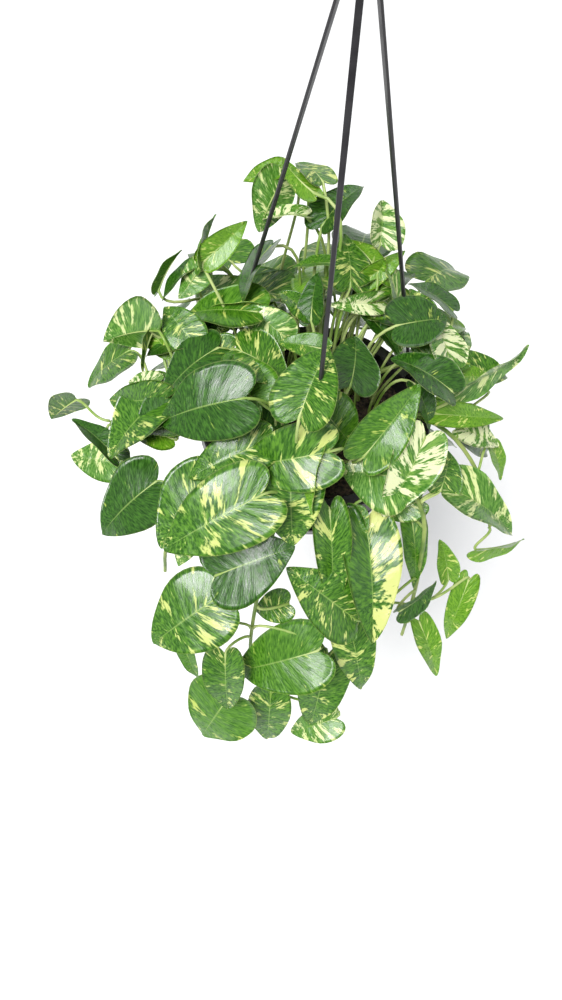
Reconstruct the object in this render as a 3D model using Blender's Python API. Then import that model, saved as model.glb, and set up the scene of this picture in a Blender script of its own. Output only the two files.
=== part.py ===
"""Golden pothos growing in a hanging pot.

Metres, +Z up. The origin is the point where the hook bears on what it hangs from, and the pot's rim
is RIM_DROP below it. The front of the pot faces -Y. Distances inside the model are worked out in a
frame whose origin is the centre of the rim, which the empty called rim_frame stands for.
"""

import math

import bmesh
import bpy
from mathutils import Matrix, Vector

# ---------------------------------------------------------------- driving dimensions (metres)
GAP = 0.0003                  # clearance kept between two touching pieces

RIM_DROP = 0.455              # hook's bearing point down to the top of the rim
RIM_RADIUS = 0.105
FLANGE_WIDTH = 0.0115         # flat ring on top of the rim
SKIRT_DEPTH = 0.017
WALL = 0.0020
POT_HEIGHT = 0.094
POT_BASE_RADIUS = 0.066

SAUCER_RADIUS = 0.082
SAUCER_HEIGHT = 0.0215
SAUCER_BASE_RADIUS = 0.075
SAUCER_WALL = 0.0020

SOIL_DEPTH = 0.014            # rim down to the edge of the soil
SOIL_CROWN = 0.004            # rise of the soil at the middle

HANGER_RISE = 0.385           # rim up to the underside of the hub
HUB_RADIUS = 0.010
HUB_HEIGHT = 0.016
HOOK_ROD_RADIUS = 0.0024
HOOK_BEND_RADIUS = 0.0165
ARM_AZIMUTHS = (-1.5, 118.5, -121.5)   # degrees from the front, anticlockwise seen from above
ARM_ROD_RADIUS = 0.0018
ARM_STRAP_WIDTH = 0.0044
ARM_STRAP_THICKNESS = 0.0020
ARM_STRAP_START = 0.215       # height over the rim at which the rod flattens into a strap
ARM_HOLE_RADIUS = 0.0032
ARM_BUTTON_RADIUS = 0.0037
ARM_BUTTON_HEIGHT = 0.0045
ARM_SEAT_RADIUS = 0.0983      # pot axis to the holes in the flange

VINE_RADIUS = 0.0024
STALK_RADIUS = 0.0013
BLADE_THICKNESS = 0.0010
STALK_UNDER_BLADE = 0.010     # how far the stalk runs on as the start of the midrib

ROUND_SEGMENTS = 40
VINE_SIDES = 7
VINE_STEPS_PER_POINT = 4
STALK_SIDES = 5
STALK_STEPS = 6
BLADE_ROWS = 7
BLADE_COLUMNS = 2

COLOURS = {
    "plastic": ((0.022, 0.020, 0.024), 0.38),
    "soil": ((0.030, 0.022, 0.016), 0.95),
    "vine": ((0.20, 0.33, 0.08), 0.45),
    "deep": ((0.045, 0.16, 0.03), 0.32),
    "mid": ((0.11, 0.27, 0.05), 0.35),
    "lime": ((0.30, 0.46, 0.05), 0.38),
    "marbled": ((0.24, 0.40, 0.12), 0.35),
    "pale": ((0.40, 0.52, 0.30), 0.40),
    "cream": ((0.66, 0.68, 0.42), 0.38),
}

# ---------------------------------------------------------------- the plant, in millimetres
# Each vine is a smooth curve through its points, from the soil over the rim and down.
VINES = {
    "vine_left": [(-40, -10, -9), (-75, -10, 35), (-115, -15, 35), (-150, -25, 20), (-180, -30, 5)],
    "vine_front_left": [(-30, -50, -9), (-60, -85, 30), (-95, -115, 10), (-120, -130, -30), (-125, -135, -70)],
    "vine_front": [(0, -60, -9), (-15, -95, 30), (-30, -135, 15), (-40, -165, -40), (-45, -180, -100), (-45, -190, -150)],
    "vine_front_right": [(40, -42, -9), (68, -80, 30), (94, -106, 4), (99, -128, -50), (99, -142, -100), (98, -150, -145)],
    "vine_right": [(50, -10, -9), (85, -25, 35), (120, -40, 25), (150, -60, -10), (165, -80, -50)],
    "vine_right_back": [(40, 25, -9), (80, 25, 45), (120, 15, 40), (150, 20, 20)],
    "vine_loop": [(-60, 40, -9), (-75, 75, 40), (-73, 80, 55), (-45, 95, 60), (-22, 94, 60), (-5, 95, 62)],
    "vine_back": [(0, 50, -9), (5, 90, 45), (0, 130, 30), (-5, 155, -20), (-5, 165, -80), (0, 170, -130)],
    "vine_back_right": [(50, 60, -9), (75, 95, 30), (100, 120, -10), (110, 130, -70)],
    "vine_back_left": [(-55, 50, -9), (-90, 95, 25), (-125, 120, -10), (-135, 130, -60)],
}

# name, where the stalk starts (a vine and the share of its length, or "soil" and x, y),
# blade base, blade tip, turn about the midrib (degrees), width / length, fold, curl (degrees), colour
LEAVES = [
    ("leaf_crown_1", ("vine_loop", 0.78), (-40, 100, 168), (-56, 60, 148), 100, 0.85, 12, 30, "pale"),
    ("leaf_crown_2", ("vine_loop", 0.90), (-8, 95, 172), (-30, 125, 165), 0, 0.85, 10, 40, "marbled"),
    ("leaf_crown_5", ("soil", 30, 40), (42, 70, 135), (42, 105, 150), 0, 1.10, 40, 20, "cream"),
    ("leaf_crown_6", ("soil", 14, 22), (20, 38, 118), (12, 76, 138), 0, 0.90, 8, 30, "marbled"),
    ("leaf_crown_8", ("soil", 10, -14), (24, -38, 85), (26, 5, 95), 10, 1.10, 10, 40, "deep"),
    ("leaf_crown_10", ("soil", -44, 4), (-68, -18, 96), (-26, -34, 78), -25, 1.10, 10, 45, "marbled"),
    ("leaf_left_1", ("vine_left", 0.28), (-98, 44, 130), (-66, 70, 150), 70, 0.55, 20, 20, "lime"),
    ("leaf_left_2", ("vine_left", 0.46), (-134, 6, 86), (-186, 16, 58), 100, 1.00, 20, 40, "pale"),
    ("leaf_left_3", ("vine_left", 0.62), (-166, 20, 44), (-204, 2, 12), 0, 1.00, 6, 30, "marbled"),
    ("leaf_left_4", ("vine_left", 0.80), (-214, -8, 6), (-238, -18, -12), 70, 1.40, 10, 20, "marbled"),
    ("leaf_left_6", ("vine_front_left", 0.24), (-58, -68, 98), (-126, -66, 58), 0, 0.80, 12, 45, "deep"),
    ("leaf_left_8", ("vine_left", 0.93), (-168, -62, -12), (-216, -50, -22), -10, 0.75, 10, 30, "pale"),
    ("leaf_left_9", ("vine_front_left", 0.66), (-130, -96, 16), (-176, -126, -26), 0, 0.95, 8, 35, "deep"),
    ("leaf_front_1", ("vine_front_left", 0.42), (-40, -130, 60), (-116, -158, 14), 0, 0.70, 12, 35, "marbled"),
    ("leaf_front_2", ("vine_front", 0.44), (-74, -168, -6), (-12, -148, 14), 0, 0.95, 8, 35, "deep"),
    ("leaf_front_3", ("vine_front_left", 0.94), (-74, -174, -36), (-128, -200, -80), 0, 0.95, 8, 35, "marbled"),
    ("leaf_front_4", ("vine_front", 0.96), (-62, -216, -158), (-88, -238, -215), 0, 1.10, 6, 30, "mid"),
    ("leaf_front_5", ("vine_front", 0.74), (14, -196, -84), (-56, -202, -128), 0, 0.80, 10, 35, "mid"),
    ("leaf_front_6", ("vine_front", 0.99), (40, -218, -200), (-2, -226, -225), 0, 0.80, 20, 30, "cream"),
    ("leaf_front_7", ("vine_front_right", 0.62), (44, -182, -46), (-18, -156, -8), 0, 0.85, 10, 35, "mid"),
    ("leaf_right_2", ("vine_right", 0.30), (106, -34, 80), (56, -10, 88), 10, 0.95, 15, 35, "deep"),
    ("leaf_right_4", ("vine_right", 0.68), (116, -86, 16), (176, -102, -26), -20, 0.75, 20, 40, "pale"),
    ("leaf_right_5", ("vine_right", 0.96), (156, -94, -70), (206, -72, -82), 70, 0.50, 30, 20, "lime"),
    ("leaf_right_6", ("vine_front_right", 0.88), (154, -112, -98), (142, -148, -152), 40, 0.45, 25, 45, "lime"),
    ("leaf_right_7", ("vine_front_right", 0.97), (110, -148, -118), (134, -180, -170), 0, 0.42, 20, 30, "lime"),
    ("leaf_right_8", ("vine_front_right", 0.40), (46, -118, 6), (58, -198, -56), 0, 0.62, 22, 35, "deep"),
    ("leaf_right_9", ("vine_right_back", 0.52), (114, -14, 56), (186, 50, 50), 60, 0.30, 25, 20, "pale"),
    ("leaf_right_10", ("vine_right_back", 0.36), (112, 58, 78), (72, 74, 90), 0, 0.95, 12, 35, "deep"),
    ("leaf_rear_1", ("vine_back_right", 0.36), (96, 112, 60), (132, 164, 26), 0, 0.82, 12, 40, "marbled"),
    ("leaf_rear_2", ("vine_back", 0.32), (34, 144, 62), (44, 206, 28), 0, 0.85, 12, 40, "deep"),
    ("leaf_rear_3", ("vine_back_left", 0.40), (-84, 120, 60), (-124, 166, 26), 0, 0.85, 12, 40, "marbled"),
    ("leaf_rear_4", ("vine_back", 0.66), (24, 176, -42), (30, 216, -100), 0, 0.90, 10, 35, "mid"),
    ("leaf_rear_5", ("vine_back_left", 0.80), (-150, 146, -40), (-178, 172, -98), 0, 0.88, 10, 35, "deep"),
    ("leaf_rear_6", ("vine_back_right", 0.86), (124, 132, -52), (152, 160, -108), 0, 0.85, 10, 35, "marbled"),
]

# Half of a blade's outline, from the notch where the stalk joins, round the lobe to the tip.
# Lengths are shares of the blade's length: sideways from the midrib, and along it.
HALF_OUTLINE = [
    (0.0, 0.0), (0.05, -0.06), (0.13, -0.12), (0.225, -0.13), (0.32, -0.08), (0.39, 0.03),
    (0.42, 0.16), (0.412, 0.30), (0.37, 0.46), (0.295, 0.62), (0.205, 0.76), (0.115, 0.88),
    (0.045, 0.965), (0.0, 1.0),
]
OUTLINE_WIDTH = 0.84          # width of the outline above at its widest
LEAN_OUT = 0.6                # how far a blade that faces up also faces away from the pot
EDGE_DROOP = 0.15             # how far a blade's edges bend down again, as a share of x squared


# ---------------------------------------------------------------- helpers
def clear_scene():
    for obj in list(bpy.data.objects):
        bpy.data.objects.remove(obj, do_unlink=True)


def millimetres(point):
    return Vector(point) * 0.001


def make_material(name, finish):
    colour, roughness = COLOURS[finish]
    material = bpy.data.materials.new(name)
    material.use_nodes = True
    shader = material.node_tree.nodes["Principled BSDF"]
    shader.inputs["Base Color"].default_value = (*colour, 1.0)
    shader.inputs["Roughness"].default_value = roughness
    shader.inputs["Metallic"].default_value = 0.0
    return material


def add_object(name, mesh, finish, parent, smooth=True):
    obj = bpy.data.objects.new(name, mesh)
    bpy.context.scene.collection.objects.link(obj)
    obj.parent = parent
    mesh.materials.clear()
    mesh.materials.append(make_material(name + "_material", finish))
    if smooth:
        mesh.shade_smooth()
        mesh.set_sharp_from_angle(angle=math.radians(40))
    return obj


def mesh_from(name, points, faces):
    """A mesh with its faces turned outwards."""
    mesh = bpy.data.meshes.new(name)
    mesh.from_pydata([tuple(point) for point in points], [], faces)
    work = bmesh.new()
    work.from_mesh(mesh)
    bmesh.ops.remove_doubles(work, verts=work.verts, dist=0.000001)
    bmesh.ops.recalc_face_normals(work, faces=work.faces)
    work.to_mesh(mesh)
    work.free()
    return mesh


def turned(name, profile, segments=ROUND_SEGMENTS):
    """A solid of revolution about Z. The profile starts and ends on the axis."""
    points = []
    rings = []
    for radius, height in profile:
        if radius == 0.0:
            rings.append([len(points)])
            points.append(Vector((0.0, 0.0, height)))
            continue
        ring = []
        for step in range(segments):
            angle = 2 * math.pi * step / segments
            ring.append(len(points))
            points.append(Vector((radius * math.cos(angle), radius * math.sin(angle), height)))
        rings.append(ring)
    faces = []
    for lower, upper in zip(rings, rings[1:]):
        for step in range(segments):
            after = (step + 1) % segments
            if len(lower) == 1:
                faces.append((lower[0], upper[step], upper[after]))
            elif len(upper) == 1:
                faces.append((lower[step], lower[after], upper[0]))
            else:
                faces.append((lower[step], lower[after], upper[after], upper[step]))
    return mesh_from(name, points, faces)


def smooth_path(points, steps):
    """Points read from a Catmull-Rom curve through the given points."""
    ends = [2 * points[0] - points[1], *points, 2 * points[-1] - points[-2]]
    path = []
    spans = len(points) - 1
    for step in range(steps + 1):
        place = spans * step / steps
        span = min(int(place), spans - 1)
        t = place - span
        a, b, c, d = ends[span:span + 4]
        bend = 2 * a - 5 * b + 4 * c - d
        path.append(0.5 * (2 * b + (c - a) * t + bend * t ** 2 + (3 * b - a - 3 * c + d) * t ** 3))
    return path


def carried_frames(path):
    """(tangent, side, up) along a path, each turned as little as possible from the one before."""
    tangents = []
    for index in range(len(path)):
        before = path[max(index - 1, 0)]
        after = path[min(index + 1, len(path) - 1)]
        tangents.append((after - before).normalized())
    helper = Vector((0, 0, 1)) if abs(tangents[0].z) < 0.8 else Vector((1, 0, 0))
    side = tangents[0].cross(helper).normalized()
    frames = []
    for tangent in tangents:
        side = (side - side.dot(tangent) * tangent).normalized()
        frames.append((tangent, side, tangent.cross(side)))
    return frames


def swept(name, path, sections):
    """A closed solid along a path. Each section is a list of (side, up) offsets."""
    points = []
    sides = len(sections[0])
    for place, (_, side, up), section in zip(path, carried_frames(path), sections):
        for across, above in section:
            points.append(place + side * across + up * above)
    faces = []
    for row in range(len(path) - 1):
        for step in range(sides):
            after = (step + 1) % sides
            start = row * sides
            faces.append((start + step, start + after, start + sides + after, start + sides + step))
    faces.append(tuple(range(sides)))
    faces.append(tuple(range((len(path) - 1) * sides, len(path) * sides)))
    return mesh_from(name, points, faces)


def circle(radius, sides):
    angles = [2 * math.pi * step / sides for step in range(sides)]
    return [(radius * math.cos(angle), radius * math.sin(angle)) for angle in angles]


def apply_boolean(obj, other, operation):
    """Joins or cuts with another object, then removes it."""
    modifier = obj.modifiers.new(operation.lower(), "BOOLEAN")
    modifier.operation = operation
    modifier.solver = "EXACT"
    modifier.object = other
    bpy.context.view_layer.update()
    graph = bpy.context.evaluated_depsgraph_get()
    result = bpy.data.meshes.new_from_object(obj.evaluated_get(graph))
    obj.modifiers.clear()
    obj.data = result
    bpy.data.objects.remove(other, do_unlink=True)


def round_the_pot(azimuth_degrees, radius, height):
    """A point beside the pot's axis. Azimuth 0 is the front, -Y, and 90 is the right, +X."""
    angle = math.radians(azimuth_degrees)
    return Vector((radius * math.sin(angle), -radius * math.cos(angle), height))


# ---------------------------------------------------------------- pot, saucer and soil
def wall_radius(height):
    """Outer radius of the pot's wall at a height under the rim."""
    top = RIM_RADIUS - FLANGE_WIDTH
    return top + (POT_BASE_RADIUS - top) * (-height / POT_HEIGHT)


def make_pot(parent):
    top = RIM_RADIUS - FLANGE_WIDTH
    edge = 0.0012
    profile = [
        (0.0, -POT_HEIGHT),
        (POT_BASE_RADIUS - 0.003, -POT_HEIGHT),
        (POT_BASE_RADIUS, -POT_HEIGHT + 0.003),
        (wall_radius(-WALL) + WALL / 2, -0.0028),
        (RIM_RADIUS - WALL, -0.0028),
        (RIM_RADIUS - WALL, -SKIRT_DEPTH),
        (RIM_RADIUS, -SKIRT_DEPTH),
        (RIM_RADIUS, -edge),
        (RIM_RADIUS - edge, 0.0),
        (top, 0.0),
        (top - edge, -edge),
        (POT_BASE_RADIUS - WALL, -POT_HEIGHT + 0.0055),
        (POT_BASE_RADIUS - 0.006, -POT_HEIGHT + 0.003),
        (0.0, -POT_HEIGHT + 0.003),
    ]
    pot = add_object("pot", turned("pot", profile), "plastic", parent)
    for azimuth in ARM_AZIMUTHS:
        seat = round_the_pot(azimuth, ARM_SEAT_RADIUS, 0.0)
        path = [seat + Vector((0, 0, -0.006)), seat + Vector((0, 0, 0.006))]
        mesh = swept("hole", path, [circle(ARM_HOLE_RADIUS, 12)] * 2)
        cutter = add_object("hole", mesh, "plastic", parent)
        cutter.hide_render = True
        cutter.display_type = "WIRE"
        apply_boolean(pot, cutter, "DIFFERENCE")
    return pot


def make_saucer(parent):
    floor_top = -POT_HEIGHT - GAP
    floor = floor_top - SAUCER_WALL
    lip = floor + SAUCER_HEIGHT
    profile = [
        (0.0, floor),
        (SAUCER_BASE_RADIUS - 0.002, floor),
        (SAUCER_BASE_RADIUS, floor + 0.002),
        (SAUCER_RADIUS - 0.002, lip - 0.003),
        (SAUCER_RADIUS, lip - 0.002),
        (SAUCER_RADIUS, lip),
        (SAUCER_RADIUS - 0.0035, lip),
        (SAUCER_BASE_RADIUS - SAUCER_WALL, floor_top + 0.001),
        (SAUCER_BASE_RADIUS - SAUCER_WALL - 0.002, floor_top),
        (0.0, floor_top),
    ]
    return add_object("drip_saucer", turned("drip_saucer", profile), "plastic", parent)


def soil_height(x, y):
    """Top of the soil over a point, metres under the rim."""
    edge = wall_radius(-SOIL_DEPTH)
    return -SOIL_DEPTH + SOIL_CROWN * (1 - min(math.hypot(x, y) / edge, 1.0) ** 2)


def make_soil(parent):
    inset = WALL + 0.0012
    bottom = -POT_HEIGHT + 0.003 + GAP
    base = POT_BASE_RADIUS - 0.007
    edge = wall_radius(-SOIL_DEPTH) - inset
    profile = [(0.0, bottom), (base, bottom), (edge - 0.001, -SOIL_DEPTH - 0.002)]
    for share in (1.0, 0.8, 0.6, 0.4, 0.2):
        profile.append((edge * share, soil_height(edge * share, 0.0)))
    profile.append((0.0, soil_height(0.0, 0.0)))
    return add_object("potting_soil", turned("potting_soil", profile), "soil", parent)


# ---------------------------------------------------------------- hanger
def make_arm(number, azimuth, parent):
    """A round rod held under the flange by a button, flattened into a strap towards the hub."""
    flange_under = -0.0028
    button_top = flange_under - GAP
    button_bottom = button_top - ARM_BUTTON_HEIGHT
    top = round_the_pot(azimuth, 0.0068, HANGER_RISE - GAP)
    path = [
        round_the_pot(azimuth, ARM_SEAT_RADIUS, button_bottom),
        round_the_pot(azimuth, ARM_SEAT_RADIUS, button_top),
        round_the_pot(azimuth, ARM_SEAT_RADIUS, button_top + 0.0004),
        round_the_pot(azimuth, ARM_SEAT_RADIUS, 0.001),
        round_the_pot(azimuth, ARM_SEAT_RADIUS + 0.0005, 0.006),
    ]
    foot = path[-1]
    strap_share = (ARM_STRAP_START - foot.z) / (top.z - foot.z)
    shares = (0.25, strap_share - 0.05, strap_share, 0.8, 1.0)
    path += [foot.lerp(top, share) for share in shares]
    rod = circle(ARM_ROD_RADIUS, 8)
    radii = [ARM_BUTTON_RADIUS * 0.7, ARM_BUTTON_RADIUS, ARM_ROD_RADIUS, ARM_ROD_RADIUS]
    sections = [circle(radius, 8) for radius in radii] + [rod] * 4
    strap = []
    for across, above in circle(1.0, 8):
        strap.append((ARM_STRAP_WIDTH / 2 * sorted((-0.75, across, 0.75))[1] / 0.75,
                      ARM_STRAP_THICKNESS / 2 * sorted((-0.75, above, 0.75))[1] / 0.75))
    sections += [strap] * (len(path) - len(sections))
    # The strap's flat side faces outwards, so the sweep starts with its side along the rim.
    mesh = swept_facing("hanger_arm", path, sections, round_the_pot(azimuth + 90, 1.0, 0.0))
    return add_object(f"hanger_arm_{number}", mesh, "plastic", parent)


def swept_facing(name, path, sections, side):
    """A closed solid along a nearly straight path, with each section's first axis along side."""
    points = []
    sides = len(sections[0])
    for index, (place, section) in enumerate(zip(path, sections)):
        before = path[max(index - 1, 0)]
        after = path[min(index + 1, len(path) - 1)]
        up = (after - before).normalized().cross(side).normalized()
        for across, above in section:
            points.append(place + side * across + up * above)
    faces = []
    for row in range(len(path) - 1):
        for step in range(sides):
            following = (step + 1) % sides
            start = row * sides
            faces.append((start + step, start + following, start + sides + following, start + sides + step))
    faces.append(tuple(range(sides)))
    faces.append(tuple(range((len(path) - 1) * sides, len(path) * sides)))
    return mesh_from(name, points, faces)


def make_hook(parent):
    """The hub that gathers the three arms, with the hook above it."""
    top = HANGER_RISE + HUB_HEIGHT
    profile = [
        (0.0, HANGER_RISE),
        (HUB_RADIUS, HANGER_RISE),
        (HUB_RADIUS, HANGER_RISE + 0.004),
        (HUB_RADIUS * 0.55, top - 0.003),
        (HUB_RADIUS * 0.40, top),
        (0.0, top),
    ]
    hub = add_object("hanger_hook", turned("hanger_hook", profile, 24), "plastic", parent)
    # The hook's rod rises from the hub, leans out and bends over. Its inner face at the top of the
    # bend is the bearing point, over the middle of the pot.
    centre = Vector((0.0, 0.0, RIM_DROP - HOOK_BEND_RADIUS + HOOK_ROD_RADIUS))
    rod = [Vector((0.0, 0.0, top - 0.006)), Vector((0.0, 0.0, top + 0.004))]
    for step in range(15):
        angle = math.radians(-58 + 17.5 * step)
        rod.append(centre + Vector((HOOK_BEND_RADIUS * math.cos(angle), 0.0, HOOK_BEND_RADIUS * math.sin(angle))))
    mesh = swept("rod", rod, [circle(HOOK_ROD_RADIUS, 10)] * len(rod))
    apply_boolean(hub, add_object("rod", mesh, "plastic", parent), "UNION")
    return hub


# ---------------------------------------------------------------- plant
def vine_path(name):
    points = [millimetres(point) for point in VINES[name]]
    points[0].z = soil_height(points[0].x, points[0].y) + 2 * GAP
    points.insert(1, points[0] + Vector((0.0, 0.0, 0.025)))
    return smooth_path(points, VINE_STEPS_PER_POINT * (len(points) - 1))


def make_vine(name, parent):
    path = vine_path(name)
    sections = []
    for step in range(len(path)):
        taper = 1.0 - 0.35 * step / (len(path) - 1)
        sections.append(circle(VINE_RADIUS * taper, VINE_SIDES))
    return add_object(name, swept(name, path, sections), "vine", parent)


def stalk_foot(start, towards):
    """Where a leaf's stalk begins, and the way it sets off."""
    if start[0] == "soil":
        x, y = start[1] * 0.001, start[2] * 0.001
        return Vector((x, y, soil_height(x, y) + GAP)), Vector((0, 0, 1))
    path = vine_path(start[0])
    place = start[1] * (len(path) - 1)
    index = min(int(place), len(path) - 2)
    on_vine = path[index].lerp(path[index + 1], place - index)
    along = (path[index + 1] - path[index]).normalized()
    aim = (towards - on_vine).normalized()
    away = (aim - aim.dot(along) * along).normalized()
    radius = VINE_RADIUS * (1.0 - 0.35 * start[1])
    return on_vine + away * (radius + GAP), away


def blade_frame(base, tip, turn):
    """Unit vectors of a blade: along the midrib, out of the upper face, and sideways."""
    along = (tip - base).normalized()
    outward = Vector((base.x, base.y, 0.0)).normalized()
    face = Vector((0, 0, 1)) + outward * LEAN_OUT
    face = (face - face.dot(along) * along).normalized()
    face = Matrix.Rotation(math.radians(turn), 3, along) @ face
    return along, face, along.cross(face)


class Blade:
    """A heart-shaped blade from its base to its tip, folded on its midrib and curled lengthways."""

    def __init__(self, base, tip, turn, width, fold, curl):
        self.base = base
        self.along, self.face, self.side = blade_frame(base, tip, turn)
        self.curl = math.radians(curl)
        self.length = (tip - base).length * (self.curl / 2) / math.sin(self.curl / 2)
        self.width = width / OUTLINE_WIDTH
        self.fold = math.radians(fold)

    def point(self, across, ahead):
        """The point at a share of the length sideways from the midrib and along it."""
        start = self.curl / 2
        bend = start - self.curl * ahead
        forward = (math.sin(start) - math.sin(bend)) / self.curl
        rise = (math.cos(bend) - math.cos(start)) / self.curl
        lift = abs(across) * math.sin(self.fold) - EDGE_DROOP * across * across
        forward -= math.sin(bend) * lift
        rise += math.cos(bend) * lift
        sideways = across * math.cos(self.fold)
        offset = self.side * sideways + self.along * forward + self.face * rise
        return self.base + offset * self.length

    def start_direction(self):
        return self.along * math.cos(self.curl / 2) + self.face * math.sin(self.curl / 2)


def outline_points(rows):
    outline = [Vector((across, ahead, 0.0)) for across, ahead in HALF_OUTLINE]
    return smooth_path(outline, rows)


def blade_mesh(name, blade):
    """The blade as a thin closed solid."""
    rows = outline_points(BLADE_ROWS)
    upper = [blade.point(0.0, 0.0)]
    spans = []
    for row in range(1, BLADE_ROWS):
        edge = rows[row]
        middle = (row / BLADE_ROWS) ** 1.3
        span = []
        for column in range(-BLADE_COLUMNS, BLADE_COLUMNS + 1):
            share = abs(column) / BLADE_COLUMNS
            across = math.copysign(edge.x * blade.width * share, column)
            span.append(len(upper))
            upper.append(blade.point(across, middle + (edge.y - middle) * share))
        spans.append(span)
    tip = len(upper)
    upper.append(blade.point(0.0, 1.0))
    faces = []
    columns = 2 * BLADE_COLUMNS
    for column in range(columns):
        faces.append((0, spans[0][column + 1], spans[0][column]))
        faces.append((tip, spans[-1][column], spans[-1][column + 1]))
        for lower, higher in zip(spans, spans[1:]):
            faces.append((lower[column], lower[column + 1], higher[column + 1], higher[column]))
    surface = mesh_from(name, upper, faces)
    work = bmesh.new()
    work.from_mesh(surface)
    work.normal_update()
    work.verts.ensure_lookup_table()
    normals = [vertex.normal.copy() for vertex in work.verts]
    places = [vertex.co.copy() for vertex in work.verts]
    sheet = [[vertex.index for vertex in face.verts] for face in work.faces]
    border = [(edge.verts[0].index, edge.verts[1].index) for edge in work.edges if edge.is_boundary]
    work.free()
    half = BLADE_THICKNESS / 2
    count = len(places)
    points = [place + normal * half for place, normal in zip(places, normals)]
    points += [place - normal * half for place, normal in zip(places, normals)]
    solid = [tuple(face) for face in sheet]
    solid += [tuple(index + count for index in reversed(face)) for face in sheet]
    solid += [(a, b, b + count, a + count) for a, b in border]
    return mesh_from(name, points, solid)


def stalk_path(foot, away, blade):
    """A smooth curve from the foot to the blade, run on a little way under the midrib."""
    reach = (blade.base - foot).length
    arrival = (blade.start_direction() + blade.face * 0.7).normalized()
    first = foot + away * reach * 0.38
    last = blade.base - arrival * reach * 0.32
    path = []
    for step in range(STALK_STEPS + 1):
        t = step / STALK_STEPS
        path.append(
            foot * (1 - t) ** 3
            + first * 3 * t * (1 - t) ** 2
            + last * 3 * t * t * (1 - t)
            + blade.base * t ** 3
        )
    share = STALK_UNDER_BLADE / blade.length
    return path + [blade.point(0.0, share * 0.5), blade.point(0.0, share)]


def make_leaf(row, parent):
    name, start, base, tip, turn, width, fold, curl, finish = row
    blade = Blade(millimetres(base), millimetres(tip), turn, width, fold, curl)
    foot, away = stalk_foot(start, blade.base)
    leaf = add_object(name, blade_mesh(name, blade), finish, parent)
    path = stalk_path(foot, away, blade)
    radii = [STALK_RADIUS] * (len(path) - 1) + [STALK_RADIUS * 0.7]
    mesh = swept("stalk", path, [circle(radius, STALK_SIDES) for radius in radii])
    apply_boolean(leaf, add_object("stalk", mesh, finish, parent), "UNION")
    return leaf


def main():
    clear_scene()
    rim_frame = bpy.data.objects.new("rim_frame", None)
    bpy.context.scene.collection.objects.link(rim_frame)
    rim_frame.location = (0.0, 0.0, -RIM_DROP)
    make_pot(rim_frame)
    make_saucer(rim_frame)
    make_soil(rim_frame)
    for number, azimuth in enumerate(ARM_AZIMUTHS, start=1):
        make_arm(number, azimuth, rim_frame)
    make_hook(rim_frame)
    for name in VINES:
        make_vine(name, rim_frame)
    for row in LEAVES:
        make_leaf(row, rim_frame)


main()
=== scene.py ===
"""Looks of the potted pothos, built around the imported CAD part.

Distances in the planting table are millimetres from the centre of the pot's rim, with the front at -Y.
"""

import math
import random

import bmesh
import bpy
from mathutils import Matrix, Vector


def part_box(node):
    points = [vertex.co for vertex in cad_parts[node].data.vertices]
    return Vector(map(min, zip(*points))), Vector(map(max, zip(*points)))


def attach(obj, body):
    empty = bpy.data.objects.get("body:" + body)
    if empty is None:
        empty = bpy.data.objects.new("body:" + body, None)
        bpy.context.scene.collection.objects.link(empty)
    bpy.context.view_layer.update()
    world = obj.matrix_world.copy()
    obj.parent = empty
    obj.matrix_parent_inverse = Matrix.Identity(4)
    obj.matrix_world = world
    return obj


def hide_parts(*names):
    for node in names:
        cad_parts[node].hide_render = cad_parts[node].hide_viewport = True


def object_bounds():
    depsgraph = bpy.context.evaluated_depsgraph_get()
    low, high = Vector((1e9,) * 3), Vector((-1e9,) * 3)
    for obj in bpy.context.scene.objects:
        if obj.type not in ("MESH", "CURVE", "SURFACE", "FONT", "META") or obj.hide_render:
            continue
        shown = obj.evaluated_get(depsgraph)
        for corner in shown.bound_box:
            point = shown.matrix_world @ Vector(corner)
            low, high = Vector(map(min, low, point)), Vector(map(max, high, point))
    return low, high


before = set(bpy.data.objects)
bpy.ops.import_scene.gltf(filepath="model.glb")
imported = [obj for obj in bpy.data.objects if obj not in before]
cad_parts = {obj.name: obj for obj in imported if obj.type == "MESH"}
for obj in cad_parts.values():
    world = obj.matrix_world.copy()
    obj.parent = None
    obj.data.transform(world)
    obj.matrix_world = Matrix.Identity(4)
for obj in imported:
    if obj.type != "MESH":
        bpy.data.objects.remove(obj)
size_before = [list(corner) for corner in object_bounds()]
pot_low, pot_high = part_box("pot")
RIM = Vector(((pot_low[0] + pot_high[0]) / 2, (pot_low[1] + pot_high[1]) / 2, pot_high[2]))
POT_RADIUS = (pot_high[0] - pot_low[0]) / 2

# ---------------------------------------------------------------- how each kind of leaf is coloured
# dark green, light green, cream, share of the blade that is pale
LOOKS = {
    "deep": ((0.014, 0.062, 0.004), (0.044, 0.150, 0.009), (0.34, 0.44, 0.08), 0.06),
    "mid": ((0.036, 0.130, 0.006), (0.100, 0.260, 0.014), (0.44, 0.54, 0.11), 0.14),
    "lime": ((0.085, 0.230, 0.010), (0.180, 0.370, 0.020), (0.54, 0.62, 0.16), 0.20),
    "marbled": ((0.024, 0.100, 0.005), (0.095, 0.250, 0.014), (0.54, 0.62, 0.18), 0.26),
    "pale": ((0.050, 0.170, 0.014), (0.150, 0.330, 0.045), (0.62, 0.70, 0.30), 0.34),
    "cream": ((0.046, 0.170, 0.012), (0.170, 0.340, 0.045), (0.72, 0.77, 0.44), 0.50),
    "split": ((0.022, 0.098, 0.006), (0.074, 0.230, 0.015), (0.58, 0.64, 0.20), 0.30),
    "half": ((0.022, 0.098, 0.005), (0.085, 0.235, 0.013), (0.58, 0.63, 0.20), 0.32),
}

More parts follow.
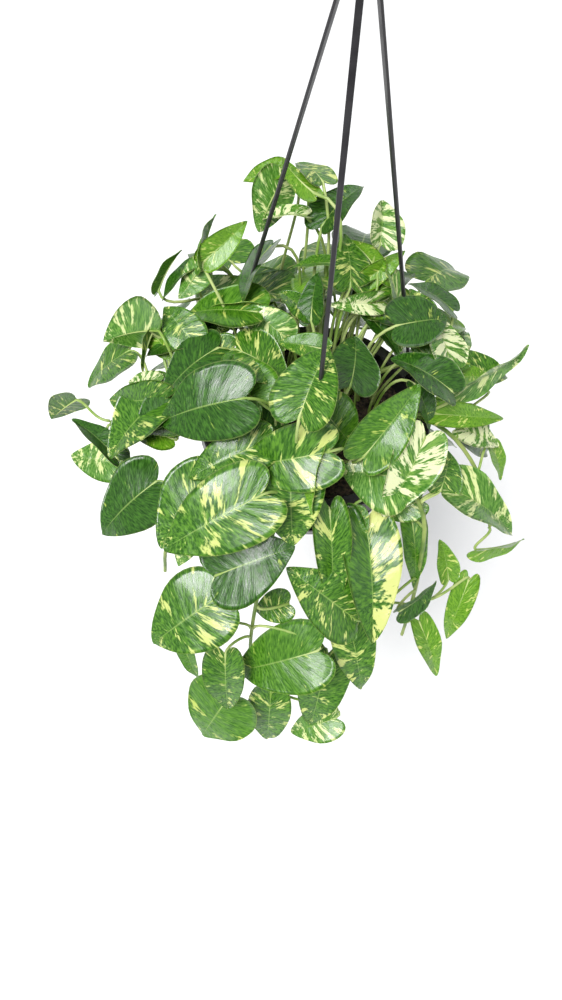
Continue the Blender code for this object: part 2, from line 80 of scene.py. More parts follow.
# name, blade base, blade tip, turn, width / length, fold, curl, look, CAD leaf it stands for
LEAVES = [
    ("t1", (-40, 100, 168), (-56, 60, 148), 100, 0.85, 12, 30, "pale", "leaf_crown_1"),
    ("t1b", (-40, 108, 172), (-72, 105, 160), -60, 0.6, 30, 20, "lime", None),
    ("t2", (-8, 95, 172), (-30, 125, 165), 0, 0.85, 10, 40, "marbled", "leaf_crown_2"),
    ("t3", (-14, 80, 172), (-42, 98, 190), 150, 0.6, 10, 30, "lime", None),
    ("t4", (-6, 72, 148), (26, 110, 158), 10, 0.8, 20, 40, "deep", None),
    ("t5", (-20, 78, 152), (-58, 72, 148), -20, 0.55, 25, 40, "cream", None),
    ("t6", (-46, 56, 138), (-66, 20, 108), 10, 0.95, 10, 45, "deep", None),
    ("t7", (42, 70, 135), (42, 105, 150), 0, 1.1, 40, 20, "cream", "leaf_crown_5"),
    ("t8", (42, 58, 118), (18, 76, 132), 60, 0.7, 20, 30, "lime", None),
    ("t9", (20, 38, 118), (12, 76, 138), 0, 1.0, 8, 30, "marbled", "leaf_crown_6"),
    ("t10", (30, 50, 112), (64, 72, 128), 70, 0.5, 30, 20, "lime", None),
    ("t11", (56, 52, 110), (34, 66, 114), -30, 0.7, 20, 20, "lime", None),
    ("t12", (52, 50, 108), (26, 40, 92), -20, 0.75, 20, 30, "mid", None),
    ("t13", (48, 40, 100), (4, 28, 105), -60, 0.5, 30, 15, "cream", None),
    ("t14", (54, 52, 116), (66, 8, 76), 0, 0.42, 15, 30, "pale", None),
    ("t15", (36, 34, 92), (66, 12, 68), 30, 0.6, 25, 30, "deep", None),
    ("t17", (24, -38, 85), (26, 5, 95), 10, 1.1, 10, 40, "deep", "leaf_crown_8"),
    ("t18", (2, -12, 96), (-36, -4, 92), 10, 0.6, 15, 30, "mid", None),
    ("t19", (-10, 14, 102), (-6, 50, 120), 0, 0.65, 15, 30, "deep", None),
    ("t20", (6, 54, 126), (-28, 50, 122), -20, 0.55, 20, 30, "mid", None),
    ("t21", (-12, 20, 100), (-38, 40, 105), -10, 0.8, 15, 30, "marbled", None),
    ("t22", (-30, 4, 90), (-66, 22, 104), -10, 0.75, 12, 35, "pale", None),
    ("t23", (-38, 64, 84), (-66, 56, 74), -20, 0.6, 15, 25, "lime", None),
    ("lc", (-68, -18, 96), (-26, -34, 78), -25, 1.1, 10, 45, "marbled", "leaf_crown_10"),
    ("l1", (-100, 42, 126), (-92, 82, 145), -40, 0.6, 25, 25, "mid", None),
    ("l2", (-98, 44, 130), (-66, 70, 150), 70, 0.55, 20, 20, "lime", "leaf_left_1"),
    ("l3", (-138, 40, 98), (-120, 68, 118), -40, 0.6, 25, 25, "mid", None),
    ("l4", (-102, 46, 122), (-120, 30, 100), 130, 0.8, 15, 35, "pale", None),
    ("l4b", (-106, 60, 112), (-134, 32, 94), 0, 0.6, 15, 40, "deep", None),
    ("l5", (-134, 6, 86), (-186, 16, 58), 100, 1.0, 20, 40, "pale", "leaf_left_2"),
    ("l6", (-166, 20, 44), (-204, 2, 12), 0, 1.0, 6, 30, "marbled", "leaf_left_3"),
    ("l7", (-214, -8, 6), (-238, -18, -12), 70, 1.4, 10, 20, "marbled", "leaf_left_4"),
    ("l8", (-142, 14, 75), (-146, -20, 58), 50, 0.5, 20, 30, "marbled", None),
    ("l9", (-105, -2, 84), (-132, 28, 92), 0, 0.85, 10, 35, "marbled", None),
    ("l11", (-140, 16, 70), (-120, -4, 62), 30, 0.8, 15, 25, "lime", None),
    ("l12", (-72, -10, 88), (-104, -14, 78), -20, 0.85, 10, 30, "marbled", None),
    ("l13", (-84, -14, 92), (-126, -44, 62), 0, 0.95, 10, 40, "deep", None),
    ("l15", (-58, -68, 98), (-126, -66, 58), 0, 0.8, 12, 45, "deep", "leaf_left_6"),
    ("l16", (-46, -56, 78), (-92, -18, 72), 0, 0.95, 10, 35, "mid", None),
    ("l17", (-124, -36, 58), (-170, -80, 22), 0, 0.85, 15, 40, "marbled", None),
    ("l17b", (-124, -44, 62), (-176, -30, 36), -40, 0.6, 20, 35, "marbled", None),
    ("l18", (-132, -28, 62), (-160, -20, 50), -20, 0.6, 15, 30, "cream", None),
    ("l19", (-118, -46, 64), (-148, -70, 36), 0, 0.8, 15, 35, "deep", None),
    ("l20", (-92, -64, 50), (-148, -60, 28), 30, 0.5, 20, 30, "mid", None),
    ("l21", (-118, -66, 36), (-154, -52, 24), 20, 0.8, 15, 30, "lime", None),
    ("l22", (-168, -68, 5), (-216, -26, 0), 40, 0.4, 30, 30, "deep", None),
    ("l23", (-168, -62, -12), (-216, -50, -22), -10, 0.75, 10, 30, "pale", "leaf_left_8"),
    ("l25", (-130, -96, 16), (-176, -126, -26), 0, 0.95, 8, 35, "deep", "leaf_left_9"),
    ("l26", (-82, -110, 46), (-120, -152, 4), 10, 0.85, 15, 35, "marbled", None),
    ("l27", (-40, -130, 60), (-116, -158, 14), 0, 0.7, 12, 35, "marbled", "leaf_front_1"),
    ("l28", (-90, -130, 14), (-106, -160, -10), 0, 0.7, 10, 30, "pale", None),
    ("l29", (-40, -88, 70), (-100, -110, 46), 0, 0.6, 15, 40, "marbled", None),
    ("l30", (-74, -168, -6), (-12, -148, 14), 0, 0.95, 8, 35, "deep", "leaf_front_2"),
    ("l31", (-74, -174, -36), (-128, -200, -80), 0, 0.95, 8, 35, "marbled", "leaf_front_3"),
    ("l32", (-102, -198, -84), (-90, -214, -120), 0, 0.4, 20, 20, "mid", None),
    ("l33", (-66, -200, -94), (-62, -230, -152), 0, 0.65, 25, 30, "marbled", None),
    ("l34", (-62, -216, -158), (-88, -238, -215), 0, 1.1, 6, 30, "mid", "leaf_front_4"),
    ("l35", (14, -196, -84), (-56, -202, -128), 0, 0.8, 10, 35, "mid", "leaf_front_5"),
    ("l36", (-14, -164, -60), (-42, -164, -80), 0, 0.9, 10, 30, "marbled", None),
    ("l37", (-24, -210, -158), (-24, -236, -220), 0, 0.65, 20, 30, "marbled", None),
    ("l38", (26, -180, -130), (16, -226, -202), 0, 0.6, 20, 30, "marbled", None),
    ("l39", (40, -218, -200), (-2, -226, -225), 0, 0.8, 20, 30, "pale", "leaf_front_6"),
    ("r1", (42, -166, -90), (60, -204, -152), 0, 0.55, 10, 30, "marbled", None),
    ("l41", (44, -182, -46), (-18, -156, -8), 0, 0.7, 10, 35, "marbled", "leaf_front_7"),
    ("m1", (14, -120, 26), (24, -174, -44), 0, 0.4, 30, 30, "marbled", None),
    ("m2", (4, -98, 76), (0, -136, 44), 60, 0.6, 35, 25, "lime", None),
    ("m3", (24, -116, 10), (40, -162, -52), 0, 0.5, 15, 30, "deep", None),
    ("m4", (-20, -102, 62), (-14, -148, 14), 0, 0.85, 15, 35, "marbled", None),
    ("m5", (8, -102, 82), (-62, -98, 48), -10, 0.7, 12, 35, "marbled", None),
    ("m6", (-16, -94, 112), (2, -42, 132), -10, 0.9, 20, 25, "marbled", None),
    ("m7", (2, -56, 76), (30, -72, 48), 0, 1.05, 12, 40, "mid", None),
    ("m8", (-56, -36, 46), (-22, -56, 28), 0, 1.0, 12, 40, "deep", None),
    ("r2", (38, -86, 56), (78, -38, 92), 0, 0.6, 15, 30, "mid", None),
    ("r3", (78, -22, 72), (94, -46, 44), 0, 0.7, 15, 35, "deep", None),
    ("r4", (106, -34, 80), (56, -10, 88), 10, 0.95, 15, 35, "deep", "leaf_right_2"),
    ("r6", (96, -34, 50), (162, -18, 28), 20, 0.35, 30, 30, "lime", None),
    ("r7", (86, -68, 62), (58, -114, 12), 0, 0.65, 15, 35, "cream", None),
    ("r8", (72, -90, 34), (22, -86, 34), 0, 1.3, 10, 30, "pale", None),
    ("r9", (106, -90, 20), (112, -58, 32), 0, 1.0, 12, 35, "marbled", None),
    ("r10", (116, -86, 16), (176, -102, -26), -20, 0.75, 20, 40, "pale", "leaf_right_4"),
    ("r11", (124, -26, 22), (164, -28, 2), 0, 0.75, 15, 30, "cream", None),
    ("r12", (158, -28, 2), (170, -48, -22), 0, 0.7, 15, 30, "lime", None),
    ("r13", (156, -94, -70), (206, -72, -82), 70, 0.5, 30, 20, "lime", "leaf_right_5"),
    ("r14", (134, -114, -92), (124, -82, -76), 0, 0.7, 15, 25, "lime", None),
    ("r15", (154, -112, -98), (142, -148, -152), 40, 0.4, 25, 45, "lime", "leaf_right_6"),
    ("r16", (110, -148, -118), (134, -180, -170), 0, 0.42, 20, 30, "lime", "leaf_right_7"),
    ("r17", (84, -160, -70), (116, -132, -62), 40, 0.7, 25, 30, "deep", None),
    ("r18", (88, -96, -18), (96, -140, -64), 0, 0.42, 10, 30, "mid", None),
    ("r19", (92, -90, 2), (60, -98, -14), 0, 0.8, 12, 30, "pale", None),
    ("r20", (46, -118, 6), (58, -198, -56), 0, 0.52, 22, 35, "half", "leaf_right_8"),
    ("r22", (34, -112, 14), (46, -128, 2), 0, 0.9, 10, 30, "mid", None),
    ("r23", (120, 6, 52), (150, 16, 40), 0, 0.7, 15, 30, "lime", None),
    ("r24", (114, -14, 56), (186, 50, 50), 60, 0.3, 25, 20, "pale", "leaf_right_9"),
    ("r25", (108, 4, 72), (90, 42, 88), 0, 1.1, 12, 30, "cream", None),
    ("r27", (112, 58, 78), (72, 74, 90), 0, 0.95, 12, 35, "deep", "leaf_right_10"),
    ("r28", (88, 34, 84), (72, 62, 96), -20, 0.85, 20, 30, "marbled", None),
    ("back_1", (96, 112, 60), (132, 164, 26), 0, 0.82, 12, 40, "marbled", "leaf_rear_1"),
    ("back_2", (34, 144, 62), (44, 206, 28), 0, 0.85, 12, 40, "deep", "leaf_rear_2"),
    ("back_3", (-84, 120, 60), (-124, 166, 26), 0, 0.85, 12, 40, "marbled", "leaf_rear_3"),
    ("back_4", (24, 176, -42), (30, 216, -100), 0, 0.90, 10, 35, "mid", "leaf_rear_4"),
    ("back_5", (-150, 146, -40), (-178, 172, -98), 0, 0.88, 10, 35, "deep", "leaf_rear_5"),
    ("back_6", (124, 132, -52), (152, 160, -108), 0, 0.85, 10, 35, "marbled", "leaf_rear_6"),
]

HALF_OUTLINE = [
    (0.0, 0.0), (0.05, -0.06), (0.13, -0.12), (0.225, -0.13), (0.32, -0.08), (0.39, 0.03),
    (0.42, 0.16), (0.412, 0.30), (0.37, 0.46), (0.295, 0.62), (0.205, 0.76), (0.115, 0.88),
    (0.045, 0.965), (0.0, 1.0),
]
OUTLINE_WIDTH = 0.84
ROWS = 20
COLUMNS = 7
THICKNESS = 0.0004
STALK_RADIUS = 0.0013


# ---------------------------------------------------------------- materials
def new_material(name):
    material = bpy.data.materials.new(name)
    material.use_nodes = True
    nodes = material.node_tree.nodes
    return material, nodes, material.node_tree.links, nodes["Principled BSDF"]


def math_node(nodes, links, operation, first, second):
    node = nodes.new("ShaderNodeMath")
    node.operation = operation
    for index, value in enumerate((first, second)):
        if isinstance(value, (int, float)):
            node.inputs[index].default_value = value
        else:
            links.new(value, node.inputs[index])
    return node.outputs[0]


def noise(nodes, links, vector, scale, detail=4.0):
    node = nodes.new("ShaderNodeTexNoise")
    node.inputs["Scale"].default_value = scale
    node.inputs["Detail"].default_value = detail
    links.new(vector, node.inputs["Vector"])
    return node.outputs["Fac"]


def smooth_range(nodes, links, value, low, high, start=0.0, end=1.0):
    node = nodes.new("ShaderNodeMapRange")
    node.interpolation_type = "SMOOTHSTEP"
    links.new(value, node.inputs["Value"])
    node.inputs["From Min"].default_value = low
    node.inputs["From Max"].default_value = high
    node.inputs["To Min"].default_value = start
    node.inputs["To Max"].default_value = end
    return node.outputs["Result"]


def mix(nodes, links, share, first, second):
    node = nodes.new("ShaderNodeMix")
    node.data_type = "RGBA"
    links.new(share, node.inputs["Factor"])
    for name, value in (("A", first), ("B", second)):
        socket = [s for s in node.inputs if s.name == name and s.type == "RGBA"][0]
        if isinstance(value, tuple):
            socket.default_value = (*value, 1.0)
        else:
            links.new(value, socket)
    return [s for s in node.outputs if s.type == "RGBA"][0]


def bump(nodes, links, shader, height, distance):
    node = nodes.new("ShaderNodeBump")
    node.inputs["Strength"].default_value = 0.6
    node.inputs["Distance"].default_value = distance
    links.new(height, node.inputs["Height"])
    links.new(node.outputs["Normal"], shader.inputs["Normal"])


def leaf_material(look):
    """Green with cream streaks that run from the midrib forward to the edge, along the side veins."""
    dark, light, cream, pale_share = LOOKS[look]
    material, nodes, links, shader = new_material("leaf_" + look)
    coords = nodes.new("ShaderNodeUVMap")
    coords.uv_map = "blade"
    split = nodes.new("ShaderNodeSeparateXYZ")
    links.new(coords.outputs["UV"], split.inputs[0])
    seed = nodes.new("ShaderNodeAttribute")
    seed.attribute_name = "seed"
    offset = math_node(nodes, links, "MULTIPLY", seed.outputs["Fac"], 37.0)
    across = split.outputs["X"]
    along_vein = split.outputs["Y"]
    # U is the signed share from the midrib to the edge, and V tells one side vein from the next.
    from_midrib = math_node(nodes, links, "ABSOLUTE", across, 0.0)
    streaks = nodes.new("ShaderNodeCombineXYZ")
    links.new(math_node(nodes, links, "MULTIPLY", across, 0.9), streaks.inputs["X"])
    links.new(math_node(nodes, links, "MULTIPLY", along_vein, 13.0), streaks.inputs["Y"])
    links.new(offset, streaks.inputs["Z"])
    broad = noise(nodes, links, streaks.outputs[0], 1.1, 5.0)
    fine = noise(nodes, links, streaks.outputs[0], 5.5, 6.0)
    pattern = math_node(nodes, links, "ADD", math_node(nodes, links, "MULTIPLY", broad, 0.72),
                        math_node(nodes, links, "MULTIPLY", fine, 0.28))
    if look in ("split", "half"):
        # One side of the midrib is mostly cream and the other mostly green.
        side = smooth_range(nodes, links, across, -0.05, 0.05, 0.085, -0.085)
        pattern = math_node(nodes, links, "ADD", pattern, side)
    edge = 0.5 + (0.5 - pale_share) * 0.34
    pale = smooth_range(nodes, links, pattern, edge - 0.028, edge + 0.028)
    mottle = smooth_range(nodes, links, fine, 0.38, 0.66)
    green = mix(nodes, links, mottle, dark, light)
    colour = mix(nodes, links, pale, green, cream)
    # The midrib and a thin edge are paler than the blade.
    rib = smooth_range(nodes, links, from_midrib, 0.008, 0.034, 0.5, 0.0)
    colour = mix(nodes, links, rib, colour, (0.30, 0.44, 0.11))
    margin = smooth_range(nodes, links, from_midrib, 0.965, 1.0, 0.0, 0.3)
    colour = mix(nodes, links, margin, colour, (0.42, 0.52, 0.16))
    links.new(colour, shader.inputs["Base Color"])
    rough = smooth_range(nodes, links, fine, 0.3, 0.7, 0.26, 0.42)
    links.new(rough, shader.inputs["Roughness"])
    shader.inputs["Coat Weight"].default_value = 0.15
    shader.inputs["Subsurface Weight"].default_value = 0.12
    shader.inputs["Subsurface Radius"].default_value = (0.002, 0.003, 0.001)
    veins = math_node(nodes, links, "SINE", math_node(nodes, links, "MULTIPLY", along_vein, 62.0), 0.0)
    height = math_node(nodes, links, "ADD", math_node(nodes, links, "MULTIPLY", veins, 0.35), fine)
    bump(nodes, links, shader, height, 0.0006)
    return material


def object_noise_material(name, dark, light, scale, rough, height, distance):
    """A colour that drifts between two, with matching roughness and relief, in object space."""
    material, nodes, links, shader = new_material(name)
    coords = nodes.new("ShaderNodeTexCoord").outputs["Object"]
    grain = noise(nodes, links, coords, scale, 6.0)
    drift = smooth_range(nodes, links, grain, 0.35, 0.65)
    links.new(mix(nodes, links, drift, dark, light), shader.inputs["Base Color"])
    links.new(smooth_range(nodes, links, grain, 0.3, 0.7, rough[0], rough[1]), shader.inputs["Roughness"])
    bump(nodes, links, shader, noise(nodes, links, coords, height, 5.0), distance)
    return material


def plastic_material():
    return object_noise_material(
        "black_plastic", (0.011, 0.010, 0.012), (0.021, 0.020, 0.023), 60.0, (0.30, 0.44), 900.0, 0.00015)


def vine_material():
    return object_noise_material(
        "vine_skin", (0.10, 0.19, 0.03), (0.30, 0.38, 0.10), 45.0, (0.36, 0.52), 500.0, 0.0004)


def stalk_material():
    return object_noise_material(
        "stalk_skin", (0.20, 0.34, 0.05), (0.46, 0.55, 0.20), 40.0, (0.32, 0.46), 500.0, 0.0003)


def soil_material():
    material, nodes, links, shader = new_material("damp_soil")
    coords = nodes.new("ShaderNodeTexCoord").outputs["Object"]
    grain = noise(nodes, links, coords, 320.0, 8.0)
    crumbs = smooth_range(nodes, links, grain, 0.36, 0.64)
    soil = mix(nodes, links, crumbs, (0.010, 0.007, 0.005), (0.070, 0.045, 0.028))
    # White grains of perlite.
    cells = nodes.new("ShaderNodeTexVoronoi")
    cells.inputs["Scale"].default_value = 150.0
    links.new(coords, cells.inputs["Vector"])
    perlite = smooth_range(nodes, links, cells.outputs["Distance"], 0.10, 0.16, 1.0, 0.0)
    rare = smooth_range(nodes, links, noise(nodes, links, coords, 70.0, 1.0), 0.56, 0.60)
    links.new(mix(nodes, links, math_node(nodes, links, "MULTIPLY", perlite, rare), soil, (0.62, 0.60, 0.55)),
              shader.inputs["Base Color"])
    shader.inputs["Roughness"].default_value = 0.92
    bump(nodes, links, shader, grain, 0.004)
    return material


LEAF_MATERIALS = {look: leaf_material(look) for look in LOOKS}
STALK = stalk_material()


# ---------------------------------------------------------------- leaves
def smooth_path(points, steps):
    ends = [2 * points[0] - points[1], *points, 2 * points[-1] - points[-2]]
    spans = len(points) - 1
    path = []
    for step in range(steps + 1):
        place = spans * step / steps
        span = min(int(place), spans - 1)
        t = place - span
        a, b, c, d = ends[span:span + 4]
        bend = 2 * a - 5 * b + 4 * c - d
        path.append(0.5 * (2 * b + (c - a) * t + bend * t ** 2 + (3 * b - a - 3 * c + d) * t ** 3))
    return path


class Blade:
    """A heart-shaped blade from its base to its tip, folded on its midrib and curled lengthways."""

    def __init__(self, base, tip, turn, width, fold, curl, wave):
        self.base = base
        self.along = (tip - base).normalized()
        outward = Vector((base.x - RIM.x, base.y - RIM.y, 0.0)).normalized()
        face = Vector((0, 0, 1)) + outward * 0.6
        face = (face - face.dot(self.along) * self.along).normalized()
        self.face = Matrix.Rotation(math.radians(turn), 3, self.along) @ face
        self.side = self.along.cross(self.face)
        self.curl = math.radians(curl)
        self.length = (tip - base).length * (self.curl / 2) / math.sin(self.curl / 2)
        self.width = width / OUTLINE_WIDTH
        self.fold = math.radians(fold)
        self.wave = wave

    def point(self, across, ahead, share=0.0):
        start = self.curl / 2
        bend = start - self.curl * ahead
        forward = (math.sin(start) - math.sin(bend)) / self.curl
        rise = (math.cos(bend) - math.cos(start)) / self.curl
        lift = abs(across) * math.sin(self.fold) - 0.15 * across * across
        # The edge ripples a little, and the blade puffs up between its side veins.
        lift += 0.018 * share ** 2 * math.sin(11.0 * ahead + self.wave + (2.0 if across < 0 else 0.0))
        lift += 0.004 * math.sin(math.pi * share) * math.sin(40.0 * ahead + self.wave)
        forward -= math.sin(bend) * lift
        rise += math.cos(bend) * lift
        offset = self.side * (across * math.cos(self.fold)) + self.along * forward + self.face * rise
        return self.base + offset * self.length


def leaf_sheet(blade):
    """The blade's points, faces and leaf coordinates, laid out along its side veins."""
    outline = smooth_path([Vector((x, y, 0.0)) for x, y in HALF_OUTLINE], ROWS)
    points = []
    coords = []
    rows = []
    for row in range(ROWS + 1):
        edge = outline[row]
        middle = (row / ROWS) ** 1.3
        line = []
        for column in range(-COLUMNS, COLUMNS + 1):
            if row in (0, ROWS) and column != -COLUMNS:
                line.append(line[0])
                continue
            share = abs(column) / COLUMNS
            if row in (0, ROWS):
                share = 0.0
            across = math.copysign(edge.x * blade.width * share, column)
            line.append(len(points))
            points.append(blade.point(across, middle + (edge.y - middle) * share, share))
            coords.append((math.copysign(share, column), row / ROWS))
        rows.append(line)
    faces = []
    for lower, upper in zip(rows, rows[1:]):
        for column in range(2 * COLUMNS):
            corners = [lower[column], lower[column + 1], upper[column + 1], upper[column]]
            unique = [c for i, c in enumerate(corners) if c not in corners[:i]]
            if len(unique) > 2:
                faces.append(unique)
    return points, faces, coords


def tube(points, faces, path, radii, sides=8):
    """Adds a round closed tube to the lists."""
    start = len(points)
    side = None
    for index, place in enumerate(path):
        ahead = (path[min(index + 1, len(path) - 1)] - path[max(index - 1, 0)]).normalized()
        if side is None:
            side = ahead.cross(Vector((0, 0, 1)) if abs(ahead.z) < 0.8 else Vector((1, 0, 0)))
        side = (side - side.dot(ahead) * ahead).normalized()
        up = ahead.cross(side)
        for step in range(sides):
            angle = 2 * math.pi * step / sides
            points.append(place + (side * math.cos(angle) + up * math.sin(angle)) * radii[index])
    for row in range(len(path) - 1):
        for step in range(sides):
            after = (step + 1) % sides
            low = start + row * sides
            faces.append([low + step, low + after, low + sides + after, low + sides + step])
    faces.append(list(range(start, start + sides))[::-1])
    faces.append(list(range(len(points) - sides, len(points))))


def make_leaf(name, base, tip, turn, width, fold, curl, look, seed):
    """One leaf: its blade and its stalk, in one piece that rides on the pot."""
    blade = Blade(place_of(base), place_of(tip), turn, width, fold, curl, seed * 6.0)
    sheet, sheet_faces, coords = leaf_sheet(blade)
    work = bmesh.new()
    verts = [work.verts.new(p) for p in sheet]
    for face in sheet_faces:
        work.faces.new([verts[i] for i in face])
    bmesh.ops.recalc_face_normals(work, faces=work.faces)
    work.normal_update()
    normals = [v.normal.copy() for v in verts]
    work.verts.index_update()
    border = [(e.verts[0].index, e.verts[1].index) for e in work.edges if e.is_boundary]
    work.free()
    count = len(sheet)
    points = [p + n * THICKNESS / 2 for p, n in zip(sheet, normals)]
    points += [p - n * THICKNESS / 2 for p, n in zip(sheet, normals)]
    faces = [list(f) for f in sheet_faces] + [[i + count for i in reversed(f)] for f in sheet_faces]
    faces += [[a, b, b + count, a + count] for a, b in border]
    uvs = list(coords) + list(coords)
    blade_faces = len(faces)
    foot = nearest_foot(blade.base)
    reach = (blade.base - foot).length
    half_curl = blade.curl / 2
    arrival = blade.along * math.cos(half_curl) + blade.face * (math.sin(half_curl) + 0.7)
    arrival.normalize()
    # A stalk sets off upwards, or outwards when the blade hangs below its foot.
    sets_off = Vector((0, 0, 1))
    if foot.z >= blade.base.z:
        sets_off = Vector((blade.base.x - RIM.x, blade.base.y - RIM.y, 0.0)).normalized()
    first = foot + sets_off * reach * 0.38
    last = blade.base - arrival * reach * 0.32
    path = []
    for step in range(13):
        t = step / 12
        path.append(
            foot * (1 - t) ** 3
            + first * 3 * t * (1 - t) ** 2
            + last * 3 * t * t * (1 - t)
            + blade.base * t ** 3
        )
    # The midrib stands out under the blade and dies away before the tip.
    radii = [STALK_RADIUS] * 13
    for step in range(1, 9):
        path.append(blade.point(0.0, step * 0.1) - blade.face * 0.0003)
        radii.append(STALK_RADIUS * (0.7 - 0.075 * step))
    tube(points, faces, path, radii)
    uvs += [(0.0, 0.0)] * (len(points) - len(uvs))
    mesh = bpy.data.meshes.new(name)
    mesh.from_pydata([tuple(p) for p in points], [], faces)
    layer = mesh.uv_layers.new(name="blade")
    for loop in mesh.loops:
        layer.data[loop.index].uv = uvs[loop.vertex_index]
    attribute = mesh.attributes.new("seed", "FLOAT", "POINT")
    for value in attribute.data:
        value.value = seed
    mesh.materials.append(LEAF_MATERIALS[look])
    mesh.materials.append(STALK)
    for polygon in mesh.polygons[blade_faces:]:
        polygon.material_index = 1
    mesh.shade_smooth()
    leaf = bpy.data.objects.new(name, mesh)
    bpy.context.scene.collection.objects.link(leaf)
    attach(leaf, "root")
    return leaf


def place_of(point):
    return RIM + Vector(point) * 0.001


def vine_points():
    """Points along every CAD vine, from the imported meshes, which a stalk can start from."""
    found = []
    for name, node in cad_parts.items():
        if name.startswith("vine"):
            found += [node.matrix_world @ vertex.co for vertex in node.data.vertices]
    return found


VINE_POINTS = vine_points()


def nearest_foot(base):
    """Where a stalk starts: on the soil for a leaf above the pot, or else on the nearest vine."""
    flat = Vector((base.x - RIM.x, base.y - RIM.y, 0.0))
    if flat.length < POT_RADIUS * 1.05 and base.z > RIM.z:
        inside = flat * 0.62
        return Vector((RIM.x + inside.x, RIM.y + inside.y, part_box("potting_soil")[1][2] - 0.003))
    return min(VINE_POINTS, key=lambda p: (p - base).length + 0.4 * max(p.z - base.z - 0.03, 0.0))


def build_leaves():
    chance = random.Random(7)
    for row in LEAVES:
        name, base, tip, turn, width, fold, curl, look, stands_for = row
        leaf = make_leaf("leaf." + name, base, tip, turn, width, fold, curl, look, chance.random())
        if stands_for:
            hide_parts(stands_for)


def build_rear_leaves():
    """Fills in the back of the plant and its dark middle. These leaves are invented."""
    chance = random.Random(21)
    looks = ("deep", "marbled", "mid", "deep", "lime", "pale", "marbled")
    tiers = ((58, 100, 9), (88, 70, 12), (118, 36, 13), (138, -14, 12), (144, -66, 9), (140, -112, 5))
    number = 0
    for radius, height, count in tiers:
        for step in range(count):
            angle = math.radians(5 + 170 * (step + chance.uniform(0.2, 0.8)) / count)
            reach = radius * chance.uniform(0.86, 1.1)
            out = Vector((math.cos(angle), math.sin(angle), 0.0))
            base = out * reach + Vector((0, 0, height + chance.uniform(-14, 14)))
            length = chance.uniform(46, 66)
            droop = chance.uniform(0.15, 0.9) + (0.5 if height < 0 else 0.0)
            skew = Vector((-out.y, out.x, 0.0)) * chance.uniform(-0.6, 0.6)
            tip = base + (out + skew - Vector((0, 0, droop))).normalized() * length
            number += 1
            make_leaf(f"leaf.rear_{number:02d}", tuple(base), tuple(tip), chance.uniform(-25, 25),
                      chance.uniform(0.72, 0.92), chance.uniform(8, 22), chance.uniform(25, 45),
                      chance.choice(looks), chance.random())


# ---------------------------------------------------------------- pot, hanger, vines and soil
def dress_cad_nodes():
    plastic = plastic_material()
    vine = vine_material()
    soil = soil_material()
    for name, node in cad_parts.items():
        if name.startswith("leaf"):
            continue
        chosen = vine if name.startswith("vine") else soil if name == "potting_soil" else plastic
        for slot in node.material_slots:
            slot.material = chosen


# ---------------------------------------------------------------- stage, light and camera
def build_stage():
    bottom = size_before[0][2]
    mesh = bpy.data.meshes.new("floor")
    far = 6.0
    mesh.from_pydata([(-far, -far, bottom - 0.5), (far, -far, bottom - 0.5), (far, far, bottom - 0.5),
                      (-far, far, bottom - 0.5)], [], [(0, 1, 2, 3)])
    floor = bpy.data.objects.new("floor", mesh)
    bpy.context.scene.collection.objects.link(floor)
    material, nodes, links, shader = new_material("floor_white")
    coords = nodes.new("ShaderNodeTexCoord").outputs["Object"]
    grain = noise(nodes, links, coords, 3.0, 2.0)
    links.new(mix(nodes, links, grain, (0.95, 0.95, 0.95), (0.97, 0.97, 0.97)), shader.inputs["Base Color"])
    shader.inputs["Roughness"].default_value = 0.9
    mesh.materials.append(material)


def area_light(name, place, aim, size, power):
    data = bpy.data.lights.new(name, "AREA")
    data.shape = "DISK"
    data.size = size
    data.energy = power
    light = bpy.data.objects.new(name, data)
    bpy.context.scene.collection.objects.link(light)
    light.location = place
    light.rotation_euler = (Vector(aim) - Vector(place)).to_track_quat("-Z", "Y").to_euler()


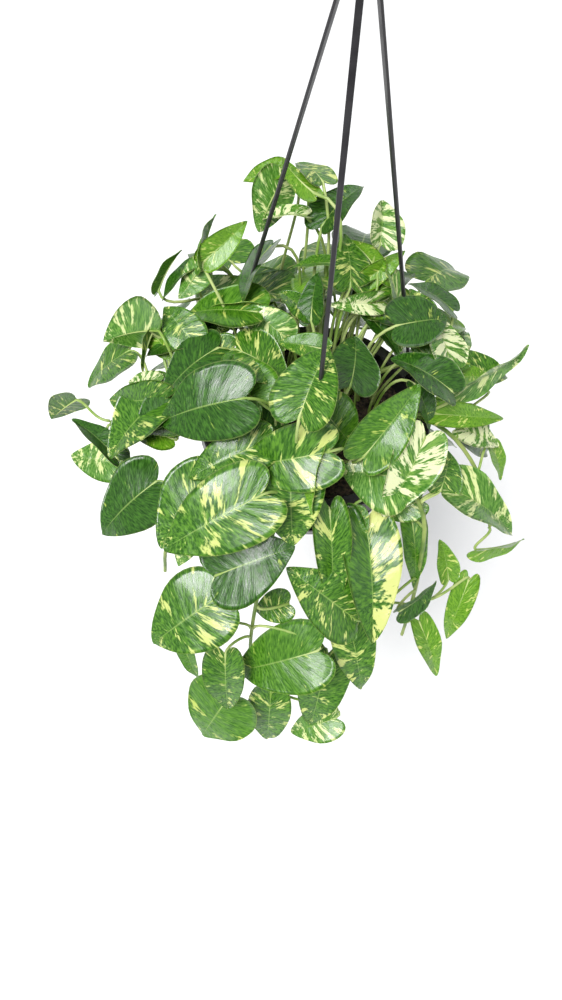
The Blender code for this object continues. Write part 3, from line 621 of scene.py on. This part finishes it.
def build_light():
    world = bpy.data.worlds.new("world")
    bpy.context.scene.world = world
    world.use_nodes = True
    nodes = world.node_tree.nodes
    links = world.node_tree.links
    ambient = nodes["Background"]
    ambient.inputs["Color"].default_value = (0.95, 0.97, 1.0, 1.0)
    ambient.inputs["Strength"].default_value = 0.36
    seen = nodes.new("ShaderNodeBackground")
    seen.inputs["Color"].default_value = (1.0, 1.0, 1.0, 1.0)
    seen.inputs["Strength"].default_value = 1.0
    rays = nodes.new("ShaderNodeLightPath")
    choose = nodes.new("ShaderNodeMixShader")
    links.new(rays.outputs["Is Camera Ray"], choose.inputs[0])
    links.new(ambient.outputs[0], choose.inputs[1])
    links.new(seen.outputs[0], choose.inputs[2])
    links.new(choose.outputs[0], nodes["World Output"].inputs["Surface"])
    data = bpy.data.lights.new("sky", "SUN")
    data.energy = 2.9
    data.angle = math.radians(24)
    sky = bpy.data.objects.new("sky", data)
    bpy.context.scene.collection.objects.link(sky)
    sky.rotation_euler = (math.radians(28), math.radians(-16), 0.0)
    area_light("key", RIM + Vector((-0.7, -0.7, 1.2)), RIM, 0.6, 8.0)
    area_light("fill", RIM + Vector((1.2, -0.6, 0.7)), RIM, 1.2, 3.0)
    area_light("back", RIM + Vector((0.2, 1.3, 0.9)), RIM, 1.0, 5.0)


def build_camera():
    """A camera above the rim, a little left of the middle, looking down at the plant and rolled slightly."""
    down = math.radians(58.2)
    roll = math.radians(3.5)
    ahead = Vector((0.0, math.cos(down), -math.sin(down)))
    right = Vector((1.0, 0.0, 0.0))
    up = right.cross(ahead)
    turned_right = right * math.cos(roll) + up * math.sin(roll)
    turned_up = up * math.cos(roll) - right * math.sin(roll)
    data = bpy.data.cameras.new("camera")
    data.sensor_fit = "VERTICAL"
    data.sensor_height = 36.0
    data.lens = 30.0
    camera = bpy.data.objects.new("camera", data)
    bpy.context.scene.collection.objects.link(camera)
    axes = Matrix((turned_right, turned_up, -ahead)).transposed().to_4x4()
    camera.matrix_world = Matrix.Translation(RIM + Vector((-0.0256, -0.4679, 0.5989))) @ axes
    bpy.context.scene.camera = camera


bpy.context.scene.view_settings.view_transform = "Standard"
dress_cad_nodes()
build_leaves()
build_rear_leaves()
build_stage()
build_light()
build_camera()
bpy.context.view_layer.update()
